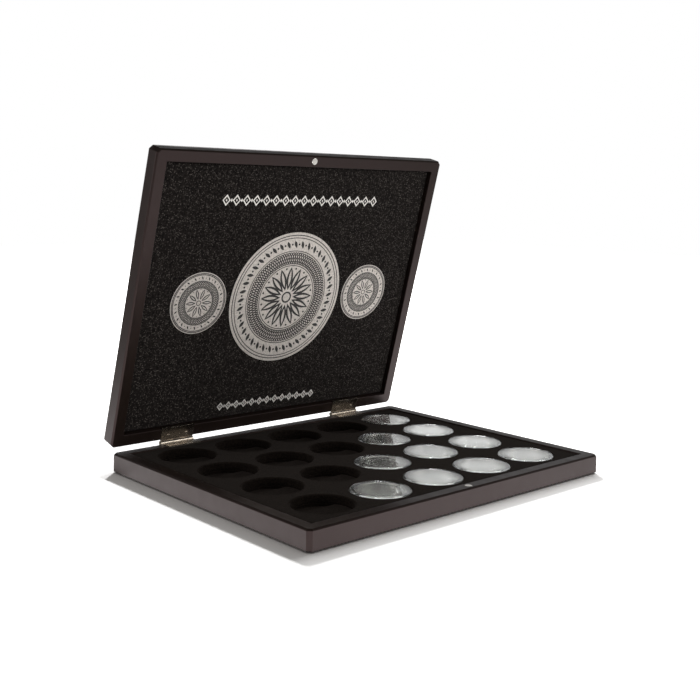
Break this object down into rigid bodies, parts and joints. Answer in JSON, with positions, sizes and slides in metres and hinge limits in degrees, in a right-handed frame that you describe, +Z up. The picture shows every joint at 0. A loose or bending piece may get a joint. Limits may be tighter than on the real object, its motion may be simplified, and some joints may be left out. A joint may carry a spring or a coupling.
{
  "type": "coin display case",
  "caption": "Hinged black lacquered wooden presentation case, standing open, with a flocked tray of round pockets, part filled with coins in clear two-part capsules.",
  "frame": {"origin": "centre of the felt under the base, on the surface the case stands on", "axes": "+X along the hinge side to the right seen from the front, +Y from the front to the hinges, +Z up"},
  "size_m": [0.305, 0.2597, 0.258],
  "materials": {
    "black_lacquered_wood": "fibreboard with a satin black lacquer",
    "underside_felt": "thin dark felt",
    "flocked_tray": "moulded insert with black flock",
    "velvet_lining": "black velvet with a silver-grey printed ornament",
    "lining_board": "plain grey board",
    "nickel_magnet": "nickel-plated",
    "nickel_hinge": "bright nickel plate on pressed steel",
    "clear_capsule": "clear polished acrylic",
    "silver_coin": "minted fine silver"
  },
  "bodies": {
    "base": {"base_front_rail": "black_lacquered_wood", "base_right_rail": "black_lacquered_wood", "base_back_rail": "black_lacquered_wood", "base_left_rail": "black_lacquered_wood", "base_bottom_panel": "black_lacquered_wood", "underside_felt": "underside_felt", "coin_tray": "flocked_tray", "base_magnet": "nickel_magnet", "left_hinge_base_leaf": "nickel_hinge", "right_hinge_base_leaf": "nickel_hinge", "left_hinge_pin": "nickel_hinge", "right_hinge_pin": "nickel_hinge", "base_hinge_screws": "nickel_hinge"},
    "lid": {"lid_front_rail": "black_lacquered_wood", "lid_right_rail": "black_lacquered_wood", "lid_back_rail": "black_lacquered_wood", "lid_left_rail": "black_lacquered_wood", "lid_panel": "black_lacquered_wood", "lid_lining_board": "lining_board", "lid_lining": "velvet_lining", "lid_magnet": "nickel_magnet", "left_hinge_lid_leaf": "nickel_hinge", "right_hinge_lid_leaf": "nickel_hinge", "lid_hinge_screws": "nickel_hinge"},
    "capsule_01": {"capsule_01_lower_shell": "clear_capsule", "coin_01": "silver_coin"},
    "capsule_01_top": {"capsule_01_upper_shell": "clear_capsule"},
    "capsule_02": {"capsule_02_lower_shell": "clear_capsule", "coin_02": "silver_coin"},
    "capsule_02_top": {"capsule_02_upper_shell": "clear_capsule"},
    "capsule_03": {"capsule_03_lower_shell": "clear_capsule", "coin_03": "silver_coin"},
    "capsule_03_top": {"capsule_03_upper_shell": "clear_capsule"},
    "capsule_04": {"capsule_04_lower_shell": "clear_capsule", "coin_04": "silver_coin"},
    "capsule_04_top": {"capsule_04_upper_shell": "clear_capsule"},
    "capsule_05": {"capsule_05_lower_shell": "clear_capsule", "coin_05": "silver_coin"},
    "capsule_05_top": {"capsule_05_upper_shell": "clear_capsule"},
    "capsule_06": {"capsule_06_lower_shell": "clear_capsule", "coin_06": "silver_coin"},
    "capsule_06_top": {"capsule_06_upper_shell": "clear_capsule"},
    "capsule_07": {"capsule_07_lower_shell": "clear_capsule", "coin_07": "silver_coin"},
    "capsule_07_top": {"capsule_07_upper_shell": "clear_capsule"},
    "capsule_08": {"capsule_08_lower_shell": "clear_capsule", "coin_08": "silver_coin"},
    "capsule_08_top": {"capsule_08_upper_shell": "clear_capsule"},
    "capsule_09": {"capsule_09_lower_shell": "clear_capsule", "coin_09": "silver_coin"},
    "capsule_09_top": {"capsule_09_upper_shell": "clear_capsule"},
    "capsule_10": {"capsule_10_lower_shell": "clear_capsule", "coin_10": "silver_coin"},
    "capsule_10_top": {"capsule_10_upper_shell": "clear_capsule"}
  },
  "joints": [
    {"name": "lid_hinge", "type": "hinge", "parent": "base", "child": "lid", "pos_m": [0, 0.1246, 0.01605], "axis": [-1, 0, 0], "range_deg": [-75, 20]},
    {"name": "capsule_01_lift", "type": "slide", "parent": "base", "child": "capsule_01", "axis": [0, 0, 1], "range_m": [0, 0.025]},
    {"name": "capsule_01_open", "type": "slide", "parent": "capsule_01", "child": "capsule_01_top", "axis": [0, 0, 1], "range_m": [0, 0.008]},
    {"name": "capsule_02_lift", "type": "slide", "parent": "base", "child": "capsule_02", "axis": [0, 0, 1], "range_m": [0, 0.025]},
    {"name": "capsule_02_open", "type": "slide", "parent": "capsule_02", "child": "capsule_02_top", "axis": [0, 0, 1], "range_m": [0, 0.008]},
    {"name": "capsule_03_lift", "type": "slide", "parent": "base", "child": "capsule_03", "axis": [0, 0, 1], "range_m": [0, 0.025]},
    {"name": "capsule_03_open", "type": "slide", "parent": "capsule_03", "child": "capsule_03_top", "axis": [0, 0, 1], "range_m": [0, 0.008]},
    {"name": "capsule_04_lift", "type": "slide", "parent": "base", "child": "capsule_04", "axis": [0, 0, 1], "range_m": [0, 0.025]},
    {"name": "capsule_04_open", "type": "slide", "parent": "capsule_04", "child": "capsule_04_top", "axis": [0, 0, 1], "range_m": [0, 0.008]},
    {"name": "capsule_05_lift", "type": "slide", "parent": "base", "child": "capsule_05", "axis": [0, 0, 1], "range_m": [0, 0.025]},
    {"name": "capsule_05_open", "type": "slide", "parent": "capsule_05", "child": "capsule_05_top", "axis": [0, 0, 1], "range_m": [0, 0.008]},
    {"name": "capsule_06_lift", "type": "slide", "parent": "base", "child": "capsule_06", "axis": [0, 0, 1], "range_m": [0, 0.025]},
    {"name": "capsule_06_open", "type": "slide", "parent": "capsule_06", "child": "capsule_06_top", "axis": [0, 0, 1], "range_m": [0, 0.008]},
    {"name": "capsule_07_lift", "type": "slide", "parent": "base", "child": "capsule_07", "axis": [0, 0, 1], "range_m": [0, 0.025]},
    {"name": "capsule_07_open", "type": "slide", "parent": "capsule_07", "child": "capsule_07_top", "axis": [0, 0, 1], "range_m": [0, 0.008]},
    {"name": "capsule_08_lift", "type": "slide", "parent": "base", "child": "capsule_08", "axis": [0, 0, 1], "range_m": [0, 0.025]},
    {"name": "capsule_08_open", "type": "slide", "parent": "capsule_08", "child": "capsule_08_top", "axis": [0, 0, 1], "range_m": [0, 0.008]},
    {"name": "capsule_09_lift", "type": "slide", "parent": "base", "child": "capsule_09", "axis": [0, 0, 1], "range_m": [0, 0.025]},
    {"name": "capsule_09_open", "type": "slide", "parent": "capsule_09", "child": "capsule_09_top", "axis": [0, 0, 1], "range_m": [0, 0.008]},
    {"name": "capsule_10_lift", "type": "slide", "parent": "base", "child": "capsule_10", "axis": [0, 0, 1], "range_m": [0, 0.025]},
    {"name": "capsule_10_open", "type": "slide", "parent": "capsule_10", "child": "capsule_10_top", "axis": [0, 0, 1], "range_m": [0, 0.008]}
  ]
}
